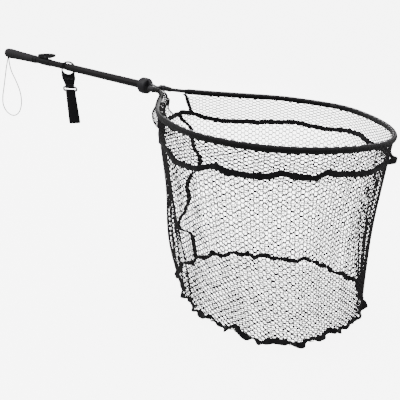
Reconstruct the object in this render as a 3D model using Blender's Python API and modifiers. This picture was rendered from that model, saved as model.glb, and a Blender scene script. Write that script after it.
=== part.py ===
"""Landing net: telescopic handle, folding head on a round hub, rounded triangular hoop and a deep net bag.

Metres, +Z up. The handle lies along X with the origin at the middle of the grip, the head points to +X,
and the hoop lies in the plane z = 0 with the bag hanging below it.
"""

import math

import bmesh
import bpy
from mathutils import Matrix, Vector

# Clearance between neighbours, and points in each turn of a coil spring
GAP = 0.0003
COIL_STEPS = 8

# Handle tubes (stations are x on the handle axis, radii from it)
INNER_TUBE_R = 0.0099
INNER_BORE_R = 0.0087
INNER_TUBE_X = (-0.060, 0.4995)
OUTER_TUBE_R = 0.0110
OUTER_BORE_R = 0.0102
OUTER_TUBE_X = (0.228, 0.5415)
END_RING_LENGTH = 0.0035

# Grip, butt cap and collar
BUTT_X = -0.0738
CAP_FRONT_X = -0.0632
GRIP_FRONT_X = 0.0665
COLLAR_X = (0.0670, 0.0835)
CAP_R = 0.0150
GRIP_PROFILE = [
    (CAP_FRONT_X + GAP, 0.0155),
    (-0.055, 0.0160),
    (-0.040, 0.0155),
    (-0.010, 0.0142),
    (0.030, 0.0131),
    (0.060, 0.0125),
    (GRIP_FRONT_X, 0.0121),
]

# Lanyard: a drop-shaped loop from two holes under the butt cap
CORD_R = 0.0012
CORD_HOLE_R = 0.0016
CORD_HOLES_X = (-0.0707, -0.0664)
CORD_HOLE_Z = (-0.0200, -0.0085)
CORD_KNOTS = [
    (-0.0707, 0.0, -0.0105),
    (-0.0709, -0.0008, -0.0200),
    (-0.0735, -0.0050, -0.0480),
    (-0.0765, -0.0080, -0.0820),
    (-0.0805, -0.0108, -0.1180),
    (-0.0836, -0.0132, -0.1480),
    (-0.0826, -0.0125, -0.1760),
    (-0.0740, -0.0060, -0.1980),
    (-0.0600, 0.0045, -0.2100),
    (-0.0465, 0.0146, -0.2070),
    (-0.0365, 0.0222, -0.1890),
    (-0.0330, 0.0250, -0.1600),
    (-0.0365, 0.0222, -0.1270),
    (-0.0460, 0.0150, -0.0950),
    (-0.0580, 0.0060, -0.0640),
    (-0.0640, 0.0015, -0.0400),
    (-0.0663, 0.0002, -0.0200),
    (-0.0664, 0.0, -0.0105),
]
CORD_POINTS = 78

# Belt clip on top of the inner tube
CLIP_PIN = (0.1300, 0.0165)
CLIP_PIN_R = 0.0015
CLIP_BAND_X = (0.1000, 0.1460)
CLIP_BAND_R = 0.0114
CLIP_RIB_X = (0.1264, 0.1336)
CLIP_RIB_Y = (-0.0054, 0.0012)
CLIP_HALF_WIDTH = 0.0090
CLIP_WALL = 0.0018
CLIP_OUTLINE = [
    (0.0940, 0.0108),
    (0.1000, 0.0114),
    (0.1330, 0.0116),
    (0.1560, 0.0200),
    (0.1590, 0.0225),
    (0.1590, 0.0262),
    (0.1555, 0.0282),
    (0.1400, 0.0280),
    (0.1200, 0.0258),
    (0.1000, 0.0215),
    (0.0950, 0.0190),
]
CLIP_HOLLOW = [
    (0.1030, 0.0050),
    (0.1030, 0.0132),
    (0.1250, 0.0202),
    (0.1500, 0.0242),
    (0.1500, 0.0050),
]

# Hub on the outer tube
HUB_X = (0.5310, 0.5590)
HUB_R = 0.0220
HUB_SOCKET_X = 0.5418
HUB_SLOT_X = 0.5490
HUB_SLOT_HALF = 0.0053
HUB_SLOT_FLOOR_Z = -0.0060
HUB_FOLD_RELIEF = [(0.5480, 0.0120), (0.5600, 0.0120), (0.5600, 0.0300), (0.5385, 0.0300), (0.5385, 0.0225)]
HINGE_PIN = (0.5545, 0.0162)
HINGE_PIN_R = 0.0020
HINGE_PIN_HALF = 0.0100
KNUCKLE_R = 0.0046
SCREW_X = 0.5365
SCREW_Z = 0.0165
BUTTON_X = 0.5484
BUTTON_TILT = math.radians(35)
BUTTON_R = 0.0042
BUTTON_BORE_R = 0.0046
BUTTON_BORE_FLOOR = 0.0085
BUTTON_OUT = 0.0232
PLUNGER_R = 0.0014
LOCK_SPRING_SPAN = (0.0092, 0.0168)
LOCK_SPRING_R = 0.0029
LOCK_SPRING_TURNS = 5
LOCK_SPRING_WIRE_R = 0.00035
CLIP_SPRING_R = 0.0027
CLIP_SPRING_TURNS = 3
CLIP_SPRING_WIRE_R = 0.0004

# Telescope twist lock on the inner tube's front end
LOCK_FLANGE_X = (0.4998, 0.5030)
LOCK_SPINDLE_R = 0.0040
LOCK_SPINDLE_END_X = 0.5185
LOCK_SLEEVE_X = (0.5033, 0.5182)

# Yoke, sockets and hoop
STEM_HALF = 0.0050
STEM_OUTLINE = [
    (0.5535, 0.0130),
    (0.5560, -0.0002),
    (0.5600, -0.0012),
    (0.5850, -0.0030),
    (0.5850, 0.0055),
    (0.5680, 0.0092),
    (0.5590, 0.0180),
    (0.5565, 0.0198),
]
CROSSBAR_X = (0.5800, 0.5930)
CROSSBAR_HALF_Z = 0.0052
SOCKET_Y = 0.0235
SOCKET_X = (0.5800, 0.6020)
SOCKET_R = 0.0074
SOCKET_FLOOR_X = 0.5860
SLEEVE_END_X = 0.6190
SLEEVE_R = 0.0069
RIVET_X = 0.5945
RIVET_R = 0.0014
HOOP_R = 0.0050
HOOP_WALL = 0.0012
HOOP_LOOP = [
    (0.6200, 0.0235),
    (0.6500, 0.0420),
    (0.7000, 0.0880),
    (0.7400, 0.1310),
    (0.7800, 0.1750),
    (0.8200, 0.2190),
    (0.8600, 0.2520),
    (0.9100, 0.2760),
    (0.9600, 0.2930),
    (1.0000, 0.2985),
    (1.0500, 0.2850),
    (1.1000, 0.2540),
    (1.1500, 0.2125),
    (1.1950, 0.1600),
    (1.2250, 0.1050),
    (1.2430, 0.0500),
    (1.2490, 0.0),
    (1.2430, -0.0500),
    (1.2250, -0.1120),
    (1.1950, -0.1780),
    (1.1550, -0.2360),
    (1.1100, -0.2790),
    (1.0600, -0.3070),
    (1.0100, -0.3205),
    (0.9600, -0.3215),
    (0.9100, -0.3070),
    (0.8600, -0.2840),
    (0.8200, -0.2560),
    (0.7800, -0.2180),
    (0.7400, -0.1680),
    (0.7000, -0.1140),
    (0.6500, -0.0480),
    (0.6200, -0.0235),
]
HOOP_POINTS = 47
HEM_R = 0.0074
HEM_WALL = 0.0018
HEM_SPAN = (2, 47)

# Net bag: a collar and a wall joined at the band tape, and a bottom panel. A share is how far round the bag
# a place is, from the hub's side round the far side, the tip and the near side.
BAG_THICKNESS = 0.0022
BAG_TOP_Z = -0.0084
BAG_NOTCH_X = 0.6700
BAG_NOTCH = (0.018, 0.985)
BAG_NOTCH_ABOVE_BAND = 0.0100
BAG_BOTTOM_Z = -0.4450
BAG_LEAN = 1.35
BAG_PINCH = 0.012
BAG_COLUMNS = 38
BAG_MID_ROWS = (-0.17, -0.25, -0.34)
SHARE_STEPS = 480
BASE_CENTRE = (1.0400, -0.0200)
BASE_LOOP = [
    (0.8030, -0.0300),
    (0.8280, 0.0570),
    (0.8900, 0.1120),
    (0.9700, 0.1600),
    (1.0300, 0.2030),
    (1.1000, 0.2070),
    (1.1800, 0.1900),
    (1.2200, 0.1300),
    (1.2450, 0.0800),
    (1.2550, 0.0300),
    (1.2500, -0.0400),
    (1.2380, -0.1000),
    (1.2150, -0.1800),
    (1.1700, -0.2250),
    (1.1100, -0.2450),
    (1.0400, -0.2500),
    (0.9800, -0.2470),
    (0.9300, -0.2200),
    (0.8700, -0.1700),
    (0.8150, -0.1050),
    (0.8030, -0.0300),
]
BOTTOM_SAG = 0.0060
BOTTOM_INSETS = (0.0, 0.30, 0.65)
BAND_KNOTS = [
    (0.00, -0.050),
    (0.05, -0.067),
    (0.10, -0.072),
    (0.20, -0.061),
    (0.24, -0.067),
    (0.30, -0.055),
    (0.36, -0.060),
    (0.45, -0.045),
    (0.50, -0.056),
    (0.58, -0.049),
    (0.60, -0.058),
    (0.65, -0.054),
    (0.70, -0.060),
    (0.76, -0.074),
    (0.79, -0.076),
    (0.82, -0.064),
    (0.90, -0.066),
    (1.00, -0.050),
]
BAND_HALF = 0.0070
BASE_TAPE_Z = (-0.4300, -0.4440)
TAPE_OFFSET = 0.0009
TAPE_THICKNESS = 0.0014
SEAM_AT = 0.008
HEM_TAPE_AT = 0.030
TAPE_HALF = 0.0036

# Strap: flat webbing with an eye for the tube, the slide below it and the doubled tail on the slide.
# It is built flat in the XZ plane, then turned about Z and moved along the tube.
STRAP_X = 0.2280
STRAP_TURN = math.radians(48)
STRAP_THICKNESS = 0.0024
STRAP_EYE_Z = -0.0041
STRAP_EYE_R = 0.0172
STRAP_OUTER_R = 0.0205
STRAP_SIDE = [(0.0203, -0.0200), (0.0190, -0.0300), (0.0148, -0.0460), (0.0136, -0.0600)]
STRAP_FOOT_HALF = 0.0138
FOLD_WALL = 0.0015
RING_TOP_Z = -0.0610
RING_HEIGHT = 0.0110
RING_WIRE_R = 0.0018
RING_HALF_WIDTH = 0.0190
RING_CORNER = 0.0040
TAIL_HALF = 0.0150
TAIL_END_Z = -0.1720
TAIL_WIDEN = 1.8
TAIL_LEAN = 0.16

BLACK_PLASTIC = ("black_plastic", (0.030, 0.030, 0.033), 0.45, 0.0)
TUBE_PAINT = ("tube_paint", (0.034, 0.031, 0.034), 0.38, 0.2)
GRIP_RUBBER = ("grip_rubber", (0.070, 0.065, 0.070), 0.75, 0.0)
STEEL = ("steel", (0.55, 0.55, 0.56), 0.30, 1.0)
HOOP_METAL = ("hoop_metal", (0.16, 0.16, 0.17), 0.30, 0.9)
CORD_GREY = ("cord_grey", (0.32, 0.32, 0.32), 0.80, 0.0)
WEBBING = ("webbing", (0.010, 0.010, 0.011), 0.90, 0.0)
NETTING = ("netting", (0.060, 0.060, 0.065), 0.80, 0.0)

parts = None
cutters = None


def clear_scene():
    """Empty the scene and make the two collections."""
    global parts, cutters
    for old in list(bpy.data.objects):
        bpy.data.objects.remove(old, do_unlink=True)
    parts = bpy.data.collections.new("landing_net")
    cutters = bpy.data.collections.new("cutters")
    bpy.context.scene.collection.children.link(parts)
    bpy.context.scene.collection.children.link(cutters)


def material(look):
    """The Principled material of one look, made once."""
    name, colour, roughness, metallic = look
    found = bpy.data.materials.get(name)
    if found:
        return found
    made = bpy.data.materials.new(name)
    made.use_nodes = True
    shader = made.node_tree.nodes["Principled BSDF"]
    shader.inputs["Base Color"].default_value = (*colour, 1.0)
    shader.inputs["Roughness"].default_value = roughness
    shader.inputs["Metallic"].default_value = metallic
    return made


def place(obj, look=None):
    """Put an object in the parts, with its look, or among the cutters."""
    for home in list(obj.users_collection):
        home.objects.unlink(obj)
    if look is None:
        cutters.objects.link(obj)
        obj.hide_render = True
        obj.display_type = "WIRE"
        return obj
    parts.objects.link(obj)
    obj.data.materials.clear()
    obj.data.materials.append(material(look))
    return obj


def mesh_object(name, bm, look=None):
    """An object from a bmesh."""
    mesh = bpy.data.meshes.new(name)
    bm.to_mesh(mesh)
    bm.free()
    obj = bpy.data.objects.new(name, mesh)
    bpy.context.scene.collection.objects.link(obj)
    return place(obj, look)


def aim(obj, location, direction):
    """Stand an object's local Z along a direction."""
    turn = Vector(direction).to_track_quat("Z", "Y").to_matrix().to_4x4()
    obj.matrix_world = Matrix.Translation(Vector(location)) @ turn
    return obj


def cylinder(name, start, end, radius, look=None, segments=24):
    """A solid cylinder between two points."""
    start = Vector(start)
    end = Vector(end)
    bm = bmesh.new()
    bmesh.ops.create_cone(
        bm, cap_ends=True, segments=segments, radius1=radius, radius2=radius, depth=(end - start).length
    )
    obj = mesh_object(name, bm, look)
    return aim(obj, (start + end) / 2, end - start)


def box(name, low, high, look=None):
    """A solid box between two corners."""
    low = Vector(low)
    high = Vector(high)
    bm = bmesh.new()
    bmesh.ops.create_cube(bm, size=1.0, matrix=Matrix.Diagonal((*(high - low), 1.0)))
    obj = mesh_object(name, bm, look)
    obj.location = (low + high) / 2
    return obj


def turned(name, outer, bore, look=None, segments=24, location=(0.0, 0.0, 0.0), direction=(1.0, 0.0, 0.0)):
    """A turned piece: outer is (station, radius) along the direction, bore its hole's radius or None."""
    side = [(radius, 0.0, station) for station, radius in reversed(outer)]
    first = outer[0][0]
    last = outer[-1][0]
    if bore is None:
        ring = [(0.0, 0.0, last)] + side + [(0.0, 0.0, first)]
    else:
        ring = side + [(bore, 0.0, first), (bore, 0.0, last)]
    count = len(ring)
    edges = [(i, i + 1) for i in range(count - 1)]
    if bore is not None:
        edges.append((count - 1, 0))
    mesh = bpy.data.meshes.new(name)
    mesh.from_pydata(ring, edges, [])
    obj = bpy.data.objects.new(name, mesh)
    bpy.context.scene.collection.objects.link(obj)
    screw = obj.modifiers.new("turn", "SCREW")
    screw.angle = math.tau
    screw.steps = segments
    screw.render_steps = segments
    screw.use_merge_vertices = True
    screw.merge_threshold = 0.00001
    screw.use_normal_calculate = False
    place(obj, look)
    return aim(obj, location, direction)


def prism(name, outline, holes, axis, low, high, look=None):
    """A flat outline with holes, extruded along X or Y between two stations."""
    data = bpy.data.curves.new(name, "CURVE")
    data.dimensions = "2D"
    data.fill_mode = "BOTH"
    data.extrude = (high - low) / 2
    for ring in [outline] + holes:
        spline = data.splines.new("POLY")
        spline.points.add(len(ring) - 1)
        for point, (a, b) in zip(spline.points, ring):
            point.co = (a, b, 0.0, 1.0)
        spline.use_cyclic_u = True
    obj = bpy.data.objects.new(name, data)
    bpy.context.scene.collection.objects.link(obj)
    middle = (low + high) / 2
    if axis == "Y":
        obj.matrix_world = Matrix.Translation((0, middle, 0)) @ Matrix.Rotation(math.pi / 2, 4, "X")
    else:
        columns = Matrix(((0, 0, 1), (1, 0, 0), (0, 1, 0))).to_4x4()
        obj.matrix_world = Matrix.Translation((middle, 0, 0)) @ columns
    return to_mesh(obj, look)


def to_mesh(curve, look=None):
    """Swap a curve object for the mesh it makes, with its caps welded."""
    bpy.context.view_layer.update()
    evaluated = curve.evaluated_get(bpy.context.evaluated_depsgraph_get())
    mesh = bpy.data.meshes.new_from_object(evaluated)
    bm = bmesh.new()
    bm.from_mesh(mesh)
    bmesh.ops.remove_doubles(bm, verts=bm.verts, dist=0.00001)
    bm.to_mesh(mesh)
    bm.free()
    name = curve.name
    world = curve.matrix_world.copy()
    bpy.data.objects.remove(curve, do_unlink=True)
    obj = bpy.data.objects.new(name, mesh)
    bpy.context.scene.collection.objects.link(obj)
    obj.matrix_world = world
    return place(obj, look)


def tube_curve(name, points, radius, look, caps=True, cyclic=False):
    """A round wire or tube on a run of points."""
    data = bpy.data.curves.new(name, "CURVE")
    data.dimensions = "3D"
    data.bevel_depth = radius
    data.bevel_resolution = 2
    data.use_fill_caps = caps
    spline = data.splines.new("POLY")
    spline.points.add(len(points) - 1)
    for point, place_at in zip(spline.points, points):
        point.co = (*place_at, 1.0)
    spline.use_cyclic_u = cyclic
    obj = bpy.data.objects.new(name, data)
    bpy.context.scene.collection.objects.link(obj)
    return place(obj, look)


def hollow_tube(name, points, radius, wall, look):
    """A bent tube with open ends."""
    obj = to_mesh(tube_curve(name, points, radius, look, caps=False), look)
    skin = obj.modifiers.new("wall", "SOLIDIFY")
    skin.thickness = wall
    skin.offset = -1.0
    skin.use_even_offset = True
    return obj


def combine(obj, other, operation):
    """Cut a piece with a cutter, or join a shape to it."""
    step = obj.modifiers.new(operation.lower(), "BOOLEAN")
    step.operation = operation
    step.solver = "EXACT"
    step.object = other
    return obj


def soften(obj, width, segments=2, angle=40):
    """Round a piece's sharp edges."""
    bevel = obj.modifiers.new("round", "BEVEL")
    bevel.width = width
    bevel.segments = segments
    bevel.limit_method = "ANGLE"
    bevel.angle_limit = math.radians(angle)
    return obj


def smooth_route(knots, count):
    """Even points on a smooth curve through the knots."""
    knots = [Vector(k) for k in knots]
    padded = [2 * knots[0] - knots[1]] + knots + [2 * knots[-1] - knots[-2]]
    fine = []
    for a, b, c, d in zip(padded, padded[1:], padded[2:], padded[3:]):
        for step in range(16):
            t = step / 16
            fine.append(
                0.5
                * (
                    2 * b
                    + (c - a) * t
                    + (2 * a - 5 * b + 4 * c - d) * t * t
                    + (3 * b - a - 3 * c + d) * t * t * t
                )
            )
    fine.append(knots[-1])
    return even_points(fine, count)


def even_points(line, count):
    """Points evenly spaced along a line."""
    run = [0.0]
    for a, b in zip(line, line[1:]):
        run.append(run[-1] + (b - a).length)
    out = []
    at = 0
    for index in range(count):
        target = run[-1] * index / (count - 1)
        while at < len(line) - 2 and run[at + 1] < target:
            at += 1
        share = (target - run[at]) / max(run[at + 1] - run[at], 1e-9)
        out.append(line[at].lerp(line[at + 1], share))
    return out


def arc(centre, radius, start, end, count):
    """Points on an arc, angles in degrees."""
    out = []
    for step in range(count):
        angle = math.radians(start + (end - start) * step / (count - 1))
        out.append((centre[0] + radius * math.cos(angle), centre[1] + radius * math.sin(angle)))
    return out


def handle_tubes():
    """The two telescopic tubes, the end ring and the twist lock between them."""
    inner = [(x, INNER_TUBE_R) for x in INNER_TUBE_X]
    outer = [(x, OUTER_TUBE_R) for x in OUTER_TUBE_X]
    turned("inner_tube", inner, INNER_BORE_R, TUBE_PAINT)
    turned("outer_tube", outer, OUTER_BORE_R, TUBE_PAINT)
    ring_end = OUTER_TUBE_X[0] - GAP
    ring_start = ring_end - END_RING_LENGTH
    ring = [(ring_start, 0.0106), (ring_start + 0.0006, OUTER_TUBE_R), (ring_end, OUTER_TUBE_R)]
    turned("tube_end_ring", ring, OUTER_BORE_R, BLACK_PLASTIC)
    plug_r = INNER_BORE_R - GAP
    core = [
        (0.4780, plug_r),
        (LOCK_FLANGE_X[0] - 0.00001, plug_r),
        (LOCK_FLANGE_X[0], INNER_TUBE_R - 0.0002),
        (LOCK_FLANGE_X[1], INNER_TUBE_R - 0.0002),
        (LOCK_FLANGE_X[1] + 0.00001, LOCK_SPINDLE_R),
        (LOCK_SPINDLE_END_X, LOCK_SPINDLE_R),
        (LOCK_SPINDLE_END_X + 0.00001, 0.0072),
        (LOCK_SPINDLE_END_X + 0.0020, 0.0072),
    ]
    turned("twist_lock_core", core, None, BLACK_PLASTIC, segments=20)
    sleeve = [
        (LOCK_SLEEVE_X[0], 0.0092),
        (LOCK_SLEEVE_X[0] + 0.0015, 0.0098),
        (LOCK_SLEEVE_X[1] - 0.0015, 0.0098),
        (LOCK_SLEEVE_X[1], 0.0092),
    ]
    turned("twist_lock_sleeve", sleeve, LOCK_SPINDLE_R + GAP, BLACK_PLASTIC, segments=20)


def grip():
    """The rubber sleeve, the cap that closes the butt and the collar in front."""
    turned("grip_sleeve", GRIP_PROFILE, INNER_TUBE_R + GAP, GRIP_RUBBER)
    plug_r = INNER_BORE_R - GAP
    cap = [
        (BUTT_X, 0.0095),
        (BUTT_X + 0.0012, 0.0125),
        (BUTT_X + 0.0036, 0.0144),
        (BUTT_X + 0.0070, CAP_R),
        (CAP_FRONT_X, CAP_R + 0.0003),
        (CAP_FRONT_X + 0.00001, plug_r),
        (-0.0460, plug_r),
    ]
    butt = turned("butt_cap", cap, None, BLACK_PLASTIC)
    for index, hole_x in enumerate(CORD_HOLES_X):
        low, high = [(hole_x, 0, z) for z in CORD_HOLE_Z]
        combine(butt, cylinder(f"cord_hole_{index}", low, high, CORD_HOLE_R, segments=10), "DIFFERENCE")
    collar = [
        (COLLAR_X[0], 0.0126),
        (COLLAR_X[0] + 0.0035, 0.0128),
        (COLLAR_X[0] + 0.0048, 0.0115),
        (COLLAR_X[1] - 0.0010, 0.0112),
        (COLLAR_X[1], 0.0108),
    ]
    turned("grip_collar", collar, INNER_TUBE_R + GAP, BLACK_PLASTIC)


def lanyard():
    """The thin cord's loop below the butt."""
    tube_curve("lanyard_cord", smooth_route(CORD_KNOTS, CORD_POINTS), CORD_R, CORD_GREY)


def belt_clip():
    """The band on the tube with its rib, the cross pin and its spring, and the tongue over them."""
    pin_x, pin_z = CLIP_PIN
    band = [
        (CLIP_BAND_X[0], 0.0108),
        (CLIP_BAND_X[0] + 0.0010, CLIP_BAND_R),
        (CLIP_BAND_X[1] - 0.0010, CLIP_BAND_R),
        (CLIP_BAND_X[1], 0.0108),
    ]
    base = turned("clip_base", band, INNER_TUBE_R + GAP, BLACK_PLASTIC)
    rib_outline = [(CLIP_RIB_X[0], 0.0106), (CLIP_RIB_X[1], 0.0106)] + arc(CLIP_PIN, 0.0036, 0, 180, 7)
    combine(base, prism("clip_rib", rib_outline, [], "Y", *CLIP_RIB_Y), "UNION")
    ends = [(pin_x, y, pin_z) for y in (-0.02, 0.02)]
    bore = cylinder("clip_rib_bore", *ends, CLIP_PIN_R + GAP, segments=12)
    combine(base, bore, "DIFFERENCE")
    pin_half = CLIP_HALF_WIDTH + 0.0006
    cylinder("clip_pin", (pin_x, -pin_half, pin_z), (pin_x, pin_half, pin_z), CLIP_PIN_R, STEEL, segments=12)
    coil = []
    for step in range(CLIP_SPRING_TURNS * COIL_STEPS + 1):
        angle = math.tau * step / COIL_STEPS
        across = CLIP_RIB_Y[1] + 0.0008 + 0.0014 * step / COIL_STEPS
        x = pin_x + CLIP_SPRING_R * math.cos(angle)
        coil.append((x, across, pin_z + CLIP_SPRING_R * math.sin(angle)))
    tube_curve("clip_spring", coil, CLIP_SPRING_WIRE_R, STEEL)
    tongue = prism("clip_tongue", CLIP_OUTLINE, [], "Y", -CLIP_HALF_WIDTH, CLIP_HALF_WIDTH, BLACK_PLASTIC)
    hollow_half = CLIP_HALF_WIDTH - CLIP_WALL
    combine(tongue, prism("clip_hollow", CLIP_HOLLOW, [], "Y", -hollow_half, hollow_half), "DIFFERENCE")
    combine(tongue, bore, "DIFFERENCE")


def hub():
    """Two half shells round the tube's end, with the hinge slot, their screws, the hinge pin and the lock."""
    rear, front = HUB_X
    outline = [
        (rear, 0.0160),
        (rear + 0.0014, 0.0196),
        (rear + 0.0050, 0.0216),
        (rear + 0.0105, HUB_R),
        (front - 0.0080, HUB_R),
        (front - 0.0030, 0.0213),
        (front - 0.0007, 0.0196),
        (front, 0.0172),
    ]
    socket = cylinder("hub_socket", (rear - 0.01, 0, 0), (HUB_SOCKET_X, 0, 0), OUTER_TUBE_R + GAP)
    low = (HUB_SLOT_X, -HUB_SLOT_HALF, HUB_SLOT_FLOOR_Z)
    slot = box("hub_slot", low, (front + 0.01, HUB_SLOT_HALF, 0.03))
    relief = prism("hub_fold_relief", HUB_FOLD_RELIEF, [], "Y", -HUB_SLOT_HALF, HUB_SLOT_HALF)
    pin_x, pin_z = HINGE_PIN
    reach = HINGE_PIN_HALF + GAP
    ends = [(pin_x, y, pin_z) for y in (-reach, reach)]
    pin_bore = cylinder("hinge_bore", *ends, HINGE_PIN_R + GAP, segments=16)
    low_screw = screw_cutter("low_screw_bore", -1, -SCREW_Z)
    high_screw = screw_cutter("high_screw_bore", 1, SCREW_Z)
    out = Vector((0.0, -math.sin(BUTTON_TILT), -math.cos(BUTTON_TILT)))
    seat = Vector((BUTTON_X, 0, 0))
    ends = [seat + out * BUTTON_BORE_FLOOR, seat + out * (HUB_R + 0.008)]
    button_bore = cylinder("button_bore", *ends, BUTTON_BORE_R, segments=20)
    for name, side in (("hub_half_near", -1), ("hub_half_far", 1)):
        shell = turned(name, outline, None, BLACK_PLASTIC, segments=32)
        low_y, high_y = sorted((side * GAP / 2, -side * 2 * HUB_R))
        low = (rear - 0.02, low_y, -2 * HUB_R)
        high = (front + 0.02, high_y, 2 * HUB_R)
        other_half = box(f"{name}_other_half", low, high)
        for cutter in (other_half, socket, slot, relief, pin_bore, low_screw, high_screw, button_bore):
            combine(shell, cutter, "DIFFERENCE")
    ends = [(pin_x, y, pin_z) for y in (-HINGE_PIN_HALF, HINGE_PIN_HALF)]
    pin = cylinder("hinge_pin", *ends, HINGE_PIN_R, STEEL, segments=16)
    soften(pin, 0.0004, 1)
    hub_screw("hub_screw_low", -1, -SCREW_Z)
    hub_screw("hub_screw_high", 1, SCREW_Z)
    lock(out, seat)


def screw_cutter(name, side, height):
    """The bore and head recess of one hub screw; side is where its head is."""
    profile = [(-0.0125, 0.0017), (0.0098, 0.0017), (0.00981, 0.0033), (0.0300, 0.0033)]
    return turned(name, profile, None, None, 14, (SCREW_X, 0, height), (0, side, 0))


def hub_screw(name, side, height):
    """A pan-head screw along Y with a slot in its head."""
    profile = [(-0.0115, 0.0014), (0.0101, 0.0014), (0.01011, 0.0029), (0.0118, 0.0027), (0.0124, 0.0018)]
    screw = turned(name, profile, None, STEEL, 14, (SCREW_X, 0, height), (0, side, 0))
    low_y, high_y = sorted((side * 0.0116, side * 0.0140))
    low = (SCREW_X - 0.0005, low_y, height - 0.005)
    high = (SCREW_X + 0.0005, high_y, height + 0.005)
    combine(screw, box(f"{name}_slot", low, high), "DIFFERENCE")


def lock(out, seat):
    """The push button of the head's lock with its plunger, and its coil spring."""
    profile = [
        (0.0118, PLUNGER_R),
        (0.0172, PLUNGER_R),
        (0.01721, BUTTON_R),
        (BUTTON_OUT - 0.0010, BUTTON_R),
        (BUTTON_OUT, BUTTON_R - 0.0009),
    ]
    turned("lock_button", profile, None, BLACK_PLASTIC, 20, seat, out)
    side = Vector((1.0, 0.0, 0.0))
    across = out.cross(side)
    coil = []
    count = LOCK_SPRING_TURNS * COIL_STEPS
    start, end = LOCK_SPRING_SPAN
    for step in range(count + 1):
        angle = math.tau * step / COIL_STEPS
        round_it = (side * math.cos(angle) + across * math.sin(angle)) * LOCK_SPRING_R
        coil.append(seat + out * (start + (end - start) * step / count) + round_it)
    tube_curve("lock_spring", coil, LOCK_SPRING_WIRE_R, STEEL)


def yoke():
    """The folding yoke: knuckle and stem, crossbar and two sockets, the rivets and the sleeves."""
    pin_x, pin_z = HINGE_PIN
    ends = [(pin_x, y, pin_z) for y in (-STEM_HALF, STEM_HALF)]
    knuckle = cylinder("knuckle", *ends, KNUCKLE_R, segments=20)
    body = prism("yoke", STEM_OUTLINE, [], "Y", -STEM_HALF, STEM_HALF, BLACK_PLASTIC)
    combine(body, knuckle, "UNION")
    bar_y = SOCKET_Y + 0.002
    bar = box("yoke_bar", (CROSSBAR_X[0], -bar_y, -CROSSBAR_HALF_Z), (CROSSBAR_X[1], bar_y, CROSSBAR_HALF_Z))
    soften(bar, 0.0025)
    combine(body, bar, "UNION")
    for name, side in (("near", -1), ("far", 1)):
        y = side * SOCKET_Y
        profile = [
            (SOCKET_X[0], SOCKET_R - 0.0028),
            (SOCKET_X[0] + 0.0010, SOCKET_R - 0.0008),
            (SOCKET_X[0] + 0.0028, SOCKET_R),
            (SOCKET_X[1] - 0.0008, SOCKET_R),
            (SOCKET_X[1], SOCKET_R - 0.0008),
        ]
        combine(body, turned(f"{name}_socket", profile, None, None, 20, (0, y, 0)), "UNION")
    for name, side in (("near", -1), ("far", 1)):
        y = side * SOCKET_Y
        ends = [(SOCKET_FLOOR_X, y, 0), (SOCKET_X[1] + 0.01, y, 0)]
        bore = cylinder(f"{name}_bore", *ends, HOOP_R + GAP, segments=20)
        combine(body, bore, "DIFFERENCE")
        combine(body, rivet_cutter(name, y), "DIFFERENCE")
        ferrule = [
            (SOCKET_X[1] + GAP, SLEEVE_R - 0.0006),
            (SOCKET_X[1] + 0.0012, SLEEVE_R),
            (SLEEVE_END_X - 0.0030, SLEEVE_R),
            (SLEEVE_END_X, SLEEVE_R - 0.0009),
        ]
        turned(f"{name}_arm_sleeve", ferrule, HOOP_R + 0.0007, BLACK_PLASTIC, 20, (0, y, 0))
        turned(f"{name}_arm_rivet", rivet_profile(), None, STEEL, 12, (RIVET_X, y, 0), (0, 0, 1))
    reach = STEM_HALF + 0.001
    ends = [(pin_x, y, pin_z) for y in (-reach, reach)]
    bore = cylinder("knuckle_bore", *ends, HINGE_PIN_R + GAP, segments=16)
    combine(body, bore, "DIFFERENCE")


def rivet_profile():
    """A rivet's shank with a domed head at each end, along Z."""
    top = SOCKET_R + 0.0001
    return [
        (-top - 0.0013, 0.0012),
        (-top - 0.0007, 0.0024),
        (-top, 0.0026),
        (-top + 0.00001, RIVET_R),
        (top - 0.00001, RIVET_R),
        (top, 0.0026),
        (top + 0.0007, 0.0024),
        (top + 0.0013, 0.0012),
    ]


def rivet_cutter(name, y):
    """The upright bore for one arm's rivet."""
    return cylinder(f"{name}_rivet_bore", (RIVET_X, y, -0.01), (RIVET_X, y, 0.01), RIVET_R + GAP, segments=12)


def hoop_route():
    """Even points along the hoop's centreline, from the far socket round the tip to the near one."""
    loop = [(x, y, 0.0) for x, y in HOOP_LOOP]
    start_x = SOCKET_FLOOR_X + GAP
    ends = [Vector((start_x, SOCKET_Y, 0.0)), Vector((start_x, -SOCKET_Y, 0.0))]
    return [ends[0]] + smooth_route(loop, HOOP_POINTS) + [ends[1]]


def hoop():
    """The bent hoop tube and the hem that wraps it."""
    route = hoop_route()
    tube = hollow_tube("hoop_tube", route, HOOP_R, HOOP_WALL, HOOP_METAL)
    for name, side in (("near", -1), ("far", 1)):
        combine(tube, rivet_cutter(f"{name}_hoop", side * SOCKET_Y), "DIFFERENCE")
    hollow_tube("net_hem", route[HEM_SPAN[0] : HEM_SPAN[1]], HEM_R, HEM_WALL, WEBBING)


def rim_outline():
    """The bag's closed top outline, seen from above: the hoop's route, closed across the hub's side."""
    loop = [(x, y) for x, y in HOOP_LOOP if x > BAG_NOTCH_X]
    start = [(BAG_NOTCH_X, 0.0), (BAG_NOTCH_X + 0.003, 0.030)]
    end = [(x, -y) for x, y in reversed(start)]
    return smooth_route([(x, y, 0.0) for x, y in start + loop + end], SHARE_STEPS + 1)


def base_outline():
    """The bag's bottom loop, from its hub side round the far side."""
    return smooth_route([(x, y, 0.0) for x, y in BASE_LOOP], SHARE_STEPS + 1)


def at_share(line, share):
    """The point a share of the way along a line of even points."""
    place_on = share * SHARE_STEPS
    index = min(int(place_on), SHARE_STEPS - 1)
    return line[index].lerp(line[index + 1], place_on - index)


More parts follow.
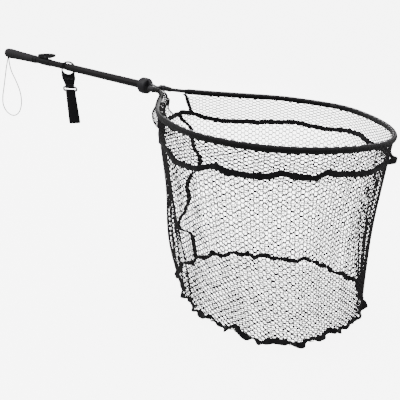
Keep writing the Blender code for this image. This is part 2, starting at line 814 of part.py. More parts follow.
def bag_point(rim, base, share, z, out=0.0):
    """A point of the bag's wall: share round from the hub side, height z, and how far outside."""
    depth = min(max(z / BAG_BOTTOM_Z, 0.0), 1.0)
    lean = depth**BAG_LEAN
    step = 1 / SHARE_STEPS
    earlier = max(share - step, 0.0)
    later = min(share + step, 1.0)
    here = at_share(rim, share).lerp(at_share(base, share), lean)
    before = at_share(rim, earlier).lerp(at_share(base, earlier), lean)
    after = at_share(rim, later).lerp(at_share(base, later), lean)
    along = after - before
    if share < step or share > 1 - step:
        along = Vector((0.0, 1.0, 0.0))
    outward = Vector((-along.y, along.x, 0.0)).normalized()
    pinch = BAG_PINCH * math.sin(math.pi * depth)
    point = here + outward * (out - pinch)
    point.z = z
    return point


def bag_shares():
    """Where the bag's columns stand, with columns at the edges of the upright tapes."""
    shares = [index / BAG_COLUMNS for index in range(BAG_COLUMNS)]
    for centre in (SEAM_AT, HEM_TAPE_AT):
        shares = [s for s in shares if abs(s - centre) > 2 * TAPE_HALF or s == 0]
        shares += [centre - TAPE_HALF, centre + TAPE_HALF]
    return sorted(shares)


def band_middle(share):
    """The height of the band tape's middle."""
    for (start, low), (end, high) in zip(BAND_KNOTS, BAND_KNOTS[1:]):
        if share <= end:
            return low + (high - low) * (share - start) / (end - start)
    return BAND_KNOTS[-1][1]


def collar_top(share):
    """The height of the collar's top edge: under the hem, but just above the band across the hub's side."""
    if BAG_NOTCH[0] < share < BAG_NOTCH[1]:
        return BAG_TOP_Z
    return band_middle(share) + BAG_NOTCH_ABOVE_BAND


def net_ring(name, rim, base, heights):
    """A closed ring of netting through rows of heights, each a function of the share."""
    bm = bmesh.new()
    shares = bag_shares()
    close_rows(bm, [[bm.verts.new(bag_point(rim, base, s, z(s))) for s in shares] for z in heights])
    thicken(mesh_object(name, bm, NETTING), BAG_THICKNESS)


def net_panels(rim, base):
    """The collar from the hem to the band, and the wall from the band to the base tape."""
    net_ring("net_collar", rim, base, [collar_top, lambda s: band_middle(s) + GAP / 2])
    rows = [lambda s: band_middle(s) - GAP / 2]
    rows += [lambda s, z=z: z for z in (*BAG_MID_ROWS, *BASE_TAPE_Z)]
    net_ring("net_wall", rim, base, rows)


def net_bottom(rim, base):
    """The bottom panel of netting, a shallow dish just under the wall."""
    bm = bmesh.new()
    centre = Vector((*BASE_CENTRE, 0.0))
    edge_z = BASE_TAPE_Z[1] - GAP - BAG_THICKNESS
    rows = []
    for inset in BOTTOM_INSETS:
        points = [bag_point(rim, base, s, BASE_TAPE_Z[1]).lerp(centre, inset) for s in bag_shares()]
        rows.append([bm.verts.new((p.x, p.y, edge_z - BOTTOM_SAG * inset)) for p in points])
    close_rows(bm, rows)
    middle = bm.verts.new((*BASE_CENTRE, edge_z - BOTTOM_SAG))
    inner = rows[-1]
    for a, b in zip(inner, inner[1:] + inner[:1]):
        bm.faces.new((a, b, middle))
    thicken(mesh_object("net_bottom", bm, NETTING), BAG_THICKNESS)


def close_rows(bm, rows):
    """Faces between closed rows of points."""
    for upper, lower in zip(rows, rows[1:]):
        for i in range(len(upper)):
            j = (i + 1) % len(upper)
            bm.faces.new((upper[i], upper[j], lower[j], lower[i]))


def thicken(obj, thickness):
    """Give an open skin its thickness on the inner side."""
    skin = obj.modifiers.new("thickness", "SOLIDIFY")
    skin.thickness = thickness
    skin.offset = -1.0
    skin.use_even_offset = True


def tape_ring(name, rim, base, heights):
    """A tape sewn round the wall between two heights, each a function of the share."""
    bm = bmesh.new()
    shares = bag_shares()
    out = TAPE_OFFSET + TAPE_THICKNESS
    close_rows(bm, [[bm.verts.new(bag_point(rim, base, s, z(s), out)) for s in shares] for z in heights])
    thicken(mesh_object(name, bm, WEBBING), TAPE_THICKNESS)


def tape_upright(name, rim, base, share, heights):
    """A tape sewn down the wall."""
    bm = bmesh.new()
    rows = []
    out = TAPE_OFFSET + TAPE_THICKNESS
    edges = (share - TAPE_HALF, share + TAPE_HALF)
    for z in heights:
        rows.append([bm.verts.new(bag_point(rim, base, s, z, out)) for s in edges])
    for upper, lower in zip(rows, rows[1:]):
        bm.faces.new((upper[0], upper[1], lower[1], lower[0]))
    thicken(mesh_object(name, bm, WEBBING), TAPE_THICKNESS)


def bag():
    """The net bag and the tapes sewn to it."""
    rim = rim_outline()
    base = base_outline()
    net_panels(rim, base)
    net_bottom(rim, base)
    band = [lambda s: band_middle(s) + BAND_HALF, lambda s: band_middle(s) - BAND_HALF]
    tape_ring("band_tape", rim, base, band)
    tape_ring("base_tape", rim, base, [lambda s, z=z: z for z in BASE_TAPE_Z])
    clear = BAND_HALF + 0.002
    seam = [band_middle(SEAM_AT) - clear, *BAG_MID_ROWS, BASE_TAPE_Z[0] + 0.002]
    tape_upright("seam_tape", rim, base, SEAM_AT, seam)
    tape_upright("hem_tape", rim, base, HEM_TAPE_AT, [BAG_TOP_Z - 0.001, band_middle(HEM_TAPE_AT) + clear])


def strap():
    """The flat strap with its eye round the tube, the slide it holds and the doubled tail on the slide."""
    strap_loop()
    on_strap(strap_ring())
    on_strap(strap_tail())


def on_strap(obj):
    """Turn an object built in the XZ plane about Z and move it to the strap's place on the tube."""
    turned_place = Matrix.Translation((STRAP_X, 0, 0)) @ Matrix.Rotation(STRAP_TURN, 4, "Z")
    obj.matrix_world = turned_place @ obj.matrix_world
    return obj


def strap_loop():
    """The flat webbing: the eye above, narrowing to a fold round the slide's top bar."""
    outline = arc((0, STRAP_EYE_Z), STRAP_OUTER_R, 0, 180, 19)
    outline += [(-x, z) for x, z in STRAP_SIDE] + list(reversed(STRAP_SIDE))
    eye = arc((0, STRAP_EYE_Z), STRAP_EYE_R, 0, 350, 36)
    half = STRAP_THICKNESS / 2
    web = on_strap(prism("strap_loop", outline, [eye], "Y", -half, half, WEBBING))
    ends = [(x, 0, RING_TOP_Z) for x in (-STRAP_FOOT_HALF, STRAP_FOOT_HALF)]
    bore_r = RING_WIRE_R + GAP
    combine(web, on_strap(cylinder("strap_fold", *ends, bore_r + FOLD_WALL, segments=20)), "UNION")
    ends = [(x * 1.1, y, z) for x, y, z in ends]
    combine(web, on_strap(cylinder("strap_fold_bore", *ends, bore_r, segments=16)), "DIFFERENCE")


def strap_ring():
    """The rectangular slide that joins the strap to its tail."""
    wire = []
    side = RING_HALF_WIDTH - RING_CORNER
    rise = RING_HEIGHT / 2 - RING_CORNER
    for cx, cz, start in ((1, 1, 0), (-1, 1, 90), (-1, -1, 180), (1, -1, 270)):
        centre = (cx * side, RING_TOP_Z - RING_HEIGHT / 2 + cz * rise)
        wire += [(x, 0.0, z) for x, z in arc(centre, RING_CORNER, start, start + 90, 5)]
    return tube_curve("strap_ring", wire, RING_WIRE_R, BLACK_PLASTIC, caps=False, cyclic=True)


def strap_tail():
    """The doubled tail, folded round the slide's lower bar."""
    bar = (0.0, RING_TOP_Z - RING_HEIGHT)
    fold_r = RING_WIRE_R + GAP + FOLD_WALL
    outline = arc(bar, fold_r, -30, 210, 9)
    outline += [(-0.0042, bar[1] - 0.030), (-0.0045, bar[1] - 0.060), (-0.0030, TAIL_END_Z)]
    outline += [(0.0030, TAIL_END_Z), (0.0045, bar[1] - 0.060), (0.0042, bar[1] - 0.030)]
    hole = arc(bar, RING_WIRE_R + GAP, 0, 330, 12)
    tail = prism("strap_tail", outline, [hole], "X", -TAIL_HALF, TAIL_HALF, WEBBING)
    lean_tail(tail, bar[1] - fold_r)
    return tail


def lean_tail(tail, below):
    """Let the tail lean towards the head and widen below its fold."""
    world = tail.matrix_world.copy()
    back = world.inverted()
    for vertex in tail.data.vertices:
        point = world @ vertex.co
        drop = max(below - point.z, 0.0)
        point.x = point.x * (1 + TAIL_WIDEN * drop) + TAIL_LEAN * drop
        vertex.co = back @ point


def shade_round_pieces():
    """Smooth shading with the hard edges kept."""
    for obj in parts.objects:
        if obj.type == "MESH":
            obj.data.shade_smooth()
            obj.data.set_sharp_from_angle(angle=math.radians(35))


def main():
    clear_scene()
    handle_tubes()
    grip()
    lanyard()
    belt_clip()
    hub()
    yoke()
    hoop()
    bag()
    strap()
    shade_round_pieces()


main()
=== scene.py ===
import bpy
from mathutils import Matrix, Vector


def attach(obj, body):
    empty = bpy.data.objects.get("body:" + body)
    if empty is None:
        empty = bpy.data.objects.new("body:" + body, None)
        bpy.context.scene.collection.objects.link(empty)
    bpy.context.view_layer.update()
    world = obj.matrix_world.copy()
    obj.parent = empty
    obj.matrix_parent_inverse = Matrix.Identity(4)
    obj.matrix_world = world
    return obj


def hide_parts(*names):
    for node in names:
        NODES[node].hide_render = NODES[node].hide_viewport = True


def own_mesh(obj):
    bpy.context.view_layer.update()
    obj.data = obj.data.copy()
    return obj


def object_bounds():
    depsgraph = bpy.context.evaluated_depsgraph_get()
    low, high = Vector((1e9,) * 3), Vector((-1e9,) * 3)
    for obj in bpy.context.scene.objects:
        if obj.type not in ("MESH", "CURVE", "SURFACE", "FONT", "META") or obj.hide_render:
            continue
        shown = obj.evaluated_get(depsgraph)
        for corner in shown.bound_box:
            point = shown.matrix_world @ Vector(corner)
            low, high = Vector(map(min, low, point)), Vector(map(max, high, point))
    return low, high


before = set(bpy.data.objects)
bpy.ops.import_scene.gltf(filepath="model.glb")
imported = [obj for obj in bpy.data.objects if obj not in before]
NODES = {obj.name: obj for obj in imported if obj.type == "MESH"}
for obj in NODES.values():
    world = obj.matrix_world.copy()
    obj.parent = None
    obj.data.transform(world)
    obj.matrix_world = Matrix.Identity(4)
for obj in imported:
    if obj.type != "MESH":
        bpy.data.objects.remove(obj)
CAD_BOX = [list(corner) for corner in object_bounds()]

# Looks for the landing net: strands of netting, sewn tapes, laced hem, ribbed grip and webbing strap.
# Metres, in the frame's own axes: the handle along X, the hoop in the plane z = 0, the bag below it.
import math

import bpy
import numpy as np
from mathutils import Matrix, Vector, noise

# Hoop and bag, as the frame has them
HOOP_LOOP = [
    (0.6200, 0.0235),
    (0.6500, 0.0420),
    (0.7000, 0.0880),
    (0.7400, 0.1310),
    (0.7800, 0.1750),
    (0.8200, 0.2190),
    (0.8600, 0.2520),
    (0.9100, 0.2760),
    (0.9600, 0.2930),
    (1.0000, 0.2985),
    (1.0500, 0.2850),
    (1.1000, 0.2540),
    (1.1500, 0.2125),
    (1.1950, 0.1600),
    (1.2250, 0.1050),
    (1.2430, 0.0500),
    (1.2490, 0.0),
    (1.2430, -0.0500),
    (1.2250, -0.1120),
    (1.1950, -0.1780),
    (1.1550, -0.2360),
    (1.1100, -0.2790),
    (1.0600, -0.3070),
    (1.0100, -0.3205),
    (0.9600, -0.3215),
    (0.9100, -0.3070),
    (0.8600, -0.2840),
    (0.8200, -0.2560),
    (0.7800, -0.2180),
    (0.7400, -0.1680),
    (0.7000, -0.1140),
    (0.6500, -0.0480),
    (0.6200, -0.0235),
]
BAG_NOTCH_X = 0.6700
BAG_BOTTOM_Z = -0.4450
BASE_LOOP = [
    (0.8030, -0.0300),
    (0.8280, 0.0570),
    (0.8900, 0.1120),
    (0.9700, 0.1600),
    (1.0300, 0.2030),
    (1.1000, 0.2070),
    (1.1800, 0.1900),
    (1.2200, 0.1300),
    (1.2450, 0.0800),
    (1.2550, 0.0300),
    (1.2500, -0.0400),
    (1.2380, -0.1000),
    (1.2150, -0.1800),
    (1.1700, -0.2250),
    (1.1100, -0.2450),
    (1.0400, -0.2500),
    (0.9800, -0.2470),
    (0.9300, -0.2200),
    (0.8700, -0.1700),
    (0.8150, -0.1050),
    (0.8030, -0.0300),
]
BAND_AT = [
    (0.0, -0.050),
    (0.023, -0.052),
    (0.045, -0.066),
    (0.08, -0.072),
    (0.15, -0.068),
    (0.195, -0.060),
    (0.24, -0.068),
    (0.28, -0.056),
    (0.31, -0.054),
    (0.34, -0.062),
    (0.45, -0.045),
    (0.50, -0.056),
    (0.54, -0.056),
    (0.571, -0.052),
    (0.585, -0.046),
    (0.60, -0.060),
    (0.624, -0.054),
    (0.643, -0.049),
    (0.655, -0.059),
    (0.70, -0.061),
    (0.716, -0.056),
    (0.74, -0.068),
    (0.764, -0.076),
    (0.788, -0.078),
    (0.808, -0.064),
    (0.85, -0.067),
    (0.90, -0.066),
    (0.95, -0.060),
    (1.0, -0.050),
]
BAG_LEAN = 1.35
BAG_PINCH = 0.012
BULGE = 0.024
BULGE_SHARE = (0.93, 0.055)
BULGE_Z = (-0.33, 0.11)
SHARE_STEPS = 480
TIP_POKE_SHARE = (0.455, 0.010)

# The tapes sewn down the wall, as (share, z) stations
NOTCH_EDGE_LINE = [
    (0.966, -0.003),
    (0.970, -0.009),
    (0.968, -0.018),
    (0.965, -0.027),
    (0.968, -0.035),
    (0.977, -0.045),
    (0.982, -0.055),
]
HEM_EDGE_LINE = [(0.012, -0.003), (0.016, -0.010), (0.018, -0.024), (0.021, -0.037), (0.023, -0.050)]
SEAM_LINE = [
    (0.0, -0.057),
    (0.005, -0.069),
    (0.02, -0.090),
    (0.022, -0.111),
    (0.023, -0.141),
    (0.033, -0.175),
    (0.025, -0.204),
    (0.008, -0.214),
    (-0.003, -0.242),
    (0.0, -0.271),
    (-0.013, -0.296),
    (-0.040, -0.321),
    (-0.033, -0.342),
    (-0.005, -0.363),
    (0.002, -0.393),
    (0.003, -0.431),
]

# Lanyard
CORD_R = 0.0016
CORD_KNOTS = [
    (-0.0707, 0.0, -0.0105),
    (-0.0709, -0.0008, -0.0200),
    (-0.0735, -0.0050, -0.0480),
    (-0.0765, -0.0080, -0.0820),
    (-0.0805, -0.0108, -0.1180),
    (-0.0836, -0.0132, -0.1480),
    (-0.0826, -0.0125, -0.1760),
    (-0.0740, -0.0060, -0.1980),
    (-0.0600, 0.0045, -0.2100),
    (-0.0465, 0.0146, -0.2070),
    (-0.0365, 0.0222, -0.1890),
    (-0.0330, 0.0250, -0.1600),
    (-0.0365, 0.0222, -0.1270),
    (-0.0460, 0.0150, -0.0950),
    (-0.0580, 0.0060, -0.0640),
    (-0.0640, 0.0015, -0.0400),
    (-0.0663, 0.0002, -0.0200),
    (-0.0664, 0.0, -0.0105),
]
CORD_POINTS = 160

# Grip sleeve
GRIP_PROFILE = [
    (-0.0629, 0.0155),
    (-0.055, 0.0160),
    (-0.040, 0.0155),
    (-0.010, 0.0142),
    (0.030, 0.0131),
    (0.060, 0.0125),
    (0.0665, 0.0121),
]
GRIP_BORE_R = 0.0102
RIDGE_PITCH = 0.0098
RIDGE_STARTS = 2.0
RIDGE_DEPTH = 0.0011
RIDGE_FADE = 0.008

# Netting: hexagons with thick upright-faced joints and thin diagonals
COLUMN_PITCH = 0.0104
ROW_PITCH = 0.0120
BAR_HALF = 1 / 3
JOINT_R = (0.00115, 0.00165, 0.00115)
TWINE_R = 0.00105
COLLAR_ROWS = 8
COLLAR_PITCH = 0.0076
NET_TOP = 0.0095
NET_LOW = 0.4385
KNOT_SHIFT = 0.0016

# Netting gathered round the near arm, and how thick it is there
CUFF_LINE = [
    (0.6280, -0.0250, -0.0030),
    (0.6560, -0.0510, -0.0045),
    (0.6950, -0.1010, -0.0065),
    (0.7350, -0.1540, -0.0090),
    (0.7720, -0.2020, -0.0110),
    (0.8080, -0.2380, -0.0140),
    (0.8450, -0.2660, -0.0170),
    (0.8800, -0.2860, -0.0190),
]
CUFF_HALF = (0.0090, 0.0120, 0.0140, 0.0130, 0.0150, 0.0170, 0.0150, 0.0100)
CUFF_JOINT_R = (0.0008, 0.0011, 0.0008)
CUFF_TWINE_R = 0.0008

# Hem, and where the near arm's gathered netting takes over from it
HEM_START = 0.022
HEM_END = 0.835
HEM_COUNT = 900
HEM_SIDES = 18
HEM_CLOTH_R = 0.0062
LACING_COUNT = 1900
LACING_PITCH = 0.024
DASH_LENGTH = 0.0135
DASH_R = (0.0004, 0.0010, 0.0012, 0.00125, 0.0012, 0.0010, 0.0004)

# Strap and slide
STRAP_X = 0.2280
STRAP_TURN = math.radians(48)
STRAP_LEAN = 0.16
STRAP_LEAN_Z = -0.020
STRAP_HALF = 0.0012
STRAP_SIDE = [(0.0, 0.0204), (0.25, 0.0204), (0.40, 0.0190), (0.75, 0.0148), (1.0, 0.0137)]
STITCH_ROWS = (-0.0330, -0.0365, -0.0540)
EYE_Z = -0.0041
EYE_R = 0.0174
EYE_RINGS = ((0.0171, 0.5), (0.0174, 1.3), (0.0196, 1.9), (0.0219, 1.3), (0.0223, 0.5))
EYE_SIDES = 48
BAR_Z = (-0.0610, -0.0720)
SLIDE_CORNER = 0.0040
SLIDE_HALF = (0.0192, 0.0055)
FOLD_R = (0.0021, 0.0043)
TAIL_LENGTH = 0.1010
TAIL_HALF = 0.0150


# ---------------------------------------------------------------- routes and surfaces
def uneven(x, y, z):
    """Smooth noise from -1 to 1 that is the same each run."""
    return noise.noise(Vector((x, y, z)))


def bell(at, middle, spread):
    """1 at the middle, falling away smoothly to each side."""
    return math.exp(-(((at - middle) / spread) ** 2))


def even_points(line, count):
    """Points evenly spaced along a line."""
    run = [0.0]
    for a, b in zip(line, line[1:]):
        run.append(run[-1] + (b - a).length)
    out = []
    at = 0
    for index in range(count):
        target = run[-1] * index / (count - 1)
        while at < len(line) - 2 and run[at + 1] < target:
            at += 1
        share = (target - run[at]) / max(run[at + 1] - run[at], 1e-9)
        out.append(line[at].lerp(line[at + 1], share))
    return out


def smooth_route(knots, count):
    """Even points on a smooth curve through the knots."""
    knots = [Vector(k) for k in knots]
    padded = [2 * knots[0] - knots[1]] + knots + [2 * knots[-1] - knots[-2]]
    fine = []
    for a, b, c, d in zip(padded, padded[1:], padded[2:], padded[3:]):
        for step in range(16):
            t = step / 16
            square = (2 * a - 5 * b + 4 * c - d) * t * t
            cube = (3 * b - a - 3 * c + d) * t * t * t
            fine.append(0.5 * (2 * b + (c - a) * t + square + cube))
    fine.append(knots[-1])
    return even_points(fine, count)


def length_of(line):
    return sum((b - a).length for a, b in zip(line, line[1:]))


def hoop_route(count):
    """The hoop's centreline from the far arm round the tip to the near arm."""
    return smooth_route([(x, y, 0.0) for x, y in HOOP_LOOP], count)


def rim_outline():
    """The bag's closed top outline seen from above."""
    loop = [(x, y) for x, y in HOOP_LOOP if x > BAG_NOTCH_X]
    start = [(BAG_NOTCH_X, 0.0), (BAG_NOTCH_X + 0.003, 0.030)]
    end = [(x, -y) for x, y in reversed(start)]
    return smooth_route([(x, y, 0.0) for x, y in start + loop + end], SHARE_STEPS + 1)


def base_outline():
    """The bag's bottom loop, from its hub side round the far side."""
    return smooth_route([(x, y, 0.0) for x, y in BASE_LOOP], SHARE_STEPS + 1)


def band_middle(share):
    """The height of the band tape's middle."""
    return float(np.interp(share % 1.0, *zip(*BAND_AT)))


RIM = rim_outline()
BASE = base_outline()
PERIMETER = length_of(RIM)
BASE_XY = np.array([(p.x, p.y) for p in BASE[:-1:4]])


def at_share(line, share):
    """The point a share of the way along a closed line of even points."""
    place_on = (share % 1.0) * SHARE_STEPS
    index = min(int(place_on), SHARE_STEPS - 1)
    return line[index].lerp(line[index + 1], place_on - index)


def ripple(share, z):
    """How far the hanging net stands out of its smooth wall: soft upright folds and a slow waviness."""
    depth = min(max(z / BAG_BOTTOM_Z, 0.0), 1.0)
    free = math.sin(math.pi * min(max((depth - 0.02) / 0.96, 0.0), 1.0)) ** 0.6
    slow = uneven(share * 13.0, z * 5.0, 1.7)
    fold = uneven(share * 46.0, z * 3.2, 7.1)
    return free * (0.011 * slow + 0.007 * fold)


def bag_point(share, z, out=0.0, rippled=True):
    """A point of the bag's wall: share round from the hub side, height z, and how far outside."""
    depth = min(max(z / BAG_BOTTOM_Z, 0.0), 1.0)
    lean = depth**BAG_LEAN
    step = 1 / SHARE_STEPS
    here = at_share(RIM, share).lerp(at_share(BASE, share), lean)
    before = at_share(RIM, share - step).lerp(at_share(BASE, share - step), lean)
    after = at_share(RIM, share + step).lerp(at_share(BASE, share + step), lean)
    along = after - before
    outward = Vector((-along.y, along.x, 0.0)).normalized()
    off = out - BAG_PINCH * math.sin(math.pi * depth)
    if rippled:
        off += ripple(share, z)
        off += BULGE * bell(share, *BULGE_SHARE) * bell(z, *BULGE_Z)
    point = here + outward * off
    point.z = z
    return point


# ---------------------------------------------------------------- camera
def camera():
    """The view from the tip's near side, a little above the hoop."""
    data = bpy.data.cameras.new("camera")
    data.lens = 54.0
    data.sensor_width = 36.0
    data.clip_start = 0.01
    data.clip_end = 200.0
    made = bpy.data.objects.new("camera", data)
    bpy.context.scene.collection.objects.link(made)
    forward = Vector((-0.54030548, 0.76882521, -0.34202014))
    turn = forward.to_track_quat("-Z", "Y").to_matrix().to_4x4()
    roll = Matrix.Rotation(math.radians(6.0), 4, "Z")
    made.matrix_world = Matrix.Translation((1.6606, -1.2638, 0.2889)) @ turn @ roll
    bpy.context.scene.camera = made


camera()


# ---------------------------------------------------------------- materials
def tree_of(name):
    """A new material with its nodes and links at hand."""
    made = bpy.data.materials.new(name)
    made.use_nodes = True
    return made, made.node_tree.nodes, made.node_tree.links


def surface(name, colour, roughness, metallic=0.0, specular=0.5, grain=900.0, variation=0.25, bump=0.15,
            relief=0.0002, stretch=(1, 1, 1), streak=None, sheen=0.0, rough_variation=0.15):
    """A material with uneven colour and roughness, and a fine grain in its relief."""
    made, nodes, links = tree_of(name)
    shader = nodes["Principled BSDF"]
    shader.inputs["Metallic"].default_value = metallic
    shader.inputs["Specular IOR Level"].default_value = specular
    shader.inputs["Sheen Weight"].default_value = sheen
    shader.inputs["Sheen Roughness"].default_value = 0.4
    where = nodes.new("ShaderNodeTexCoord")
    mapping = nodes.new("ShaderNodeMapping")
    mapping.inputs["Scale"].default_value = stretch
    links.new(where.outputs["Object"], mapping.inputs["Vector"])
    broad = noise_node(nodes, links, mapping, 38.0, 3.0)
    fine = noise_node(nodes, links, mapping, grain, 2.0)
    ramp = nodes.new("ShaderNodeValToRGB")
    ramp.color_ramp.elements[0].position = 0.3
    ramp.color_ramp.elements[1].position = 0.7
    ramp.color_ramp.elements[0].color = (*[c * (1 - variation) for c in colour], 1)
    ramp.color_ramp.elements[1].color = (*[min(c * (1 + variation), 1) for c in colour], 1)
    blend = nodes.new("ShaderNodeMath")
    blend.operation = "MULTIPLY_ADD"
    blend.inputs[1].default_value = 0.55
    links.new(fine.outputs["Fac"], blend.inputs[0])
    half = nodes.new("ShaderNodeMath")
    half.operation = "MULTIPLY"
    half.inputs[1].default_value = 0.45
    links.new(broad.outputs["Fac"], half.inputs[0])
    links.new(half.outputs[0], blend.inputs[2])
    links.new(blend.outputs[0], ramp.inputs["Fac"])
    links.new(ramp.outputs["Color"], shader.inputs["Base Color"])
    rough = nodes.new("ShaderNodeMapRange")
    rough.inputs["To Min"].default_value = max(roughness - rough_variation, 0.05)
    rough.inputs["To Max"].default_value = min(roughness + rough_variation, 1.0)
    links.new(broad.outputs["Fac"], rough.inputs["Value"])
    links.new(rough.outputs["Result"], shader.inputs["Roughness"])
    relief_node = nodes.new("ShaderNodeBump")
    relief_node.inputs["Strength"].default_value = bump
    relief_node.inputs["Distance"].default_value = relief
    links.new(fine.outputs["Fac"], relief_node.inputs["Height"])
    links.new(relief_node.outputs["Normal"], shader.inputs["Normal"])
    return made


def noise_node(nodes, links, mapping, scale, detail):
    found = nodes.new("ShaderNodeTexNoise")
    found.inputs["Scale"].default_value = scale
    found.inputs["Detail"].default_value = detail
    links.new(mapping.outputs["Vector"], found.inputs["Vector"])
    return found


def woven(name, colour, roughness=0.85, pitch=0.0016, specular=0.12, light=1.7, sheen=0.15, bump=0.6):
    """Woven tape or webbing: crossing ribs along the strip's own length and width (its UV, in metres)."""
    made, nodes, links = tree_of(name)
    shader = nodes["Principled BSDF"]
    shader.inputs["Roughness"].default_value = roughness
    shader.inputs["Specular IOR Level"].default_value = specular
    shader.inputs["Sheen Weight"].default_value = sheen
    shader.inputs["Sheen Roughness"].default_value = 0.5
    where = nodes.new("ShaderNodeTexCoord")
    waves = []
    for axis, share in (("X", 1.0), ("Y", 0.7)):
        wave = nodes.new("ShaderNodeTexWave")
        wave.wave_type = "BANDS"
        wave.bands_direction = axis
        wave.wave_profile = "SIN"
        wave.inputs["Scale"].default_value = 0.314 / (pitch * share)
        wave.inputs["Distortion"].default_value = 0.5
        wave.inputs["Detail"].default_value = 1.0
        links.new(where.outputs["UV"], wave.inputs["Vector"])
        waves.append(wave)
    cross = nodes.new("ShaderNodeMath")
    cross.operation = "MULTIPLY"
    links.new(waves[0].outputs["Fac"], cross.inputs[0])
    links.new(waves[1].outputs["Fac"], cross.inputs[1])
    uneven = nodes.new("ShaderNodeTexNoise")
    uneven.inputs["Scale"].default_value = 60.0
    uneven.inputs["Detail"].default_value = 3.0
    links.new(where.outputs["Object"], uneven.inputs["Vector"])
    add = nodes.new("ShaderNodeMath")
    add.operation = "ADD"
    links.new(cross.outputs[0], add.inputs[0])
    links.new(uneven.outputs["Fac"], add.inputs[1])
    ramp = nodes.new("ShaderNodeValToRGB")
    ramp.color_ramp.elements[0].position = 0.25
    ramp.color_ramp.elements[1].position = 0.95
    ramp.color_ramp.elements[0].color = (*[c * 0.55 for c in colour], 1)
    ramp.color_ramp.elements[1].color = (*[c * light for c in colour], 1)
    links.new(add.outputs[0], ramp.inputs["Fac"])
    links.new(ramp.outputs["Color"], shader.inputs["Base Color"])
    relief = nodes.new("ShaderNodeBump")
    relief.inputs["Strength"].default_value = bump
    relief.inputs["Distance"].default_value = 0.0004
    links.new(cross.outputs[0], relief.inputs["Height"])
    links.new(relief.outputs["Normal"], shader.inputs["Normal"])
    return made


LOOKS = {
    "tube_paint": surface("tube_paint", (0.013, 0.0115, 0.013), 0.42, specular=0.25, grain=1400,
                          variation=0.2, bump=0.05, stretch=(0.25, 1, 1)),
    "black_plastic": surface("black_plastic", (0.009, 0.009, 0.010), 0.50, specular=0.3, grain=1900,
                             variation=0.2, bump=0.25),
    "hub_plastic": surface("hub_plastic", (0.024, 0.023, 0.027), 0.52, specular=0.35, grain=1700,
                           variation=0.2, bump=0.3),
    "button_plastic": surface("button_plastic", (0.060, 0.066, 0.085), 0.40, grain=1700, variation=0.15),
    "grip_rubber": surface("grip_rubber", (0.030, 0.028, 0.031), 0.74, specular=0.3, grain=1300,
                           variation=0.3, bump=0.5),
    "cap_rubber": surface("cap_rubber", (0.012, 0.011, 0.012), 0.5, specular=0.4, grain=1300, bump=0.3),
    "arm_rubber": surface("arm_rubber", (0.008, 0.008, 0.008), 0.55, specular=0.3, grain=1500, bump=0.3),
    "steel": surface("steel", (0.50, 0.50, 0.51), 0.28, metallic=1.0, grain=1500, variation=0.08, bump=0.05),
    "hoop_metal": surface("hoop_metal", (0.022, 0.021, 0.023), 0.5, specular=0.3, grain=900, variation=0.12,
                          bump=0.03, stretch=(0.3, 0.3, 1)),
    "cord": surface("cord", (0.020, 0.020, 0.021), 0.8, specular=0.2, grain=2400,
                    variation=0.35, bump=0.8, sheen=0.2),
    "twine": surface("twine", (0.020, 0.018, 0.020), 0.6, specular=0.25, grain=2600,
                     variation=0.45, bump=0.7),
    "lacing": surface("lacing", (0.40, 0.39, 0.41), 0.6, specular=0.3, grain=2600, variation=0.3, bump=0.6),
    "thread": surface("thread", (0.16, 0.155, 0.165), 0.6, specular=0.3, grain=2600, variation=0.3, bump=0.6),
    "webbing": woven("webbing", (0.010, 0.0095, 0.011)),
    "tape": woven("tape", (0.010, 0.0095, 0.011), pitch=0.0012),
    "hem_cloth": woven("hem_cloth", (0.0075, 0.007, 0.008), pitch=0.0014, specular=0.2),
}
NODE_LOOKS = {
    "tube_paint": ["inner_tube", "outer_tube"],
    "black_plastic": ["tube_end_ring", "grip_collar", "clip_base", "clip_tongue", "twist_lock_core",
                      "twist_lock_sleeve", "strap_ring"],
    "hub_plastic": ["hub_half_near", "hub_half_far", "yoke"],
    "button_plastic": ["lock_button"],
    "cap_rubber": ["butt_cap"],
    "arm_rubber": ["near_arm_sleeve", "far_arm_sleeve"],
    "steel": ["clip_pin", "clip_spring", "hub_screw_low", "hub_screw_high", "hinge_pin", "lock_spring",
              "near_arm_rivet", "far_arm_rivet"],
    "hoop_metal": ["hoop_tube"],
    "grip_rubber": ["grip_sleeve"],
    "cord": ["lanyard_cord"],
    "twine": ["net_collar", "net_wall", "net_bottom"],
    "webbing": ["band_tape", "base_tape", "seam_tape", "hem_tape", "strap_loop", "strap_tail"],
    "hem_cloth": ["net_hem"],
}


def paint_nodes():
    """Each node of the frame takes its look."""
    for look, names in NODE_LOOKS.items():
        for name in names:
            slots = NODES[name].data.materials
            if len(slots) == 0:
                slots.append(LOOKS[look])
            for index in range(len(slots)):
                slots[index] = LOOKS[look]


# ---------------------------------------------------------------- mesh makers
def mesh_object(name, points, faces, look, body, uv=None, smooth=True):
    """A mesh piece in the row frame that rides on a body."""
    mesh = bpy.data.meshes.new(name)
    points = np.asarray(points, float).reshape(-1, 3)
    faces = np.asarray(faces, int)
    mesh.vertices.add(len(points))
    mesh.vertices.foreach_set("co", points.ravel())
    mesh.loops.add(faces.size)
    mesh.loops.foreach_set("vertex_index", faces.ravel())
    mesh.polygons.add(len(faces))
    mesh.polygons.foreach_set("loop_start", np.arange(len(faces)) * faces.shape[1])
    mesh.polygons.foreach_set("use_smooth", np.full(len(faces), smooth))
    if uv is not None:
        layer = mesh.uv_layers.new(name="along")
        layer.data.foreach_set("uv", np.asarray(uv, float)[faces.ravel()].ravel())
    mesh.update(calc_edges=True)
    mesh.validate()
    made = bpy.data.objects.new(name, mesh)
    bpy.context.scene.collection.objects.link(made)
    mesh.materials.append(LOOKS[look])
    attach(made, body)
    return made


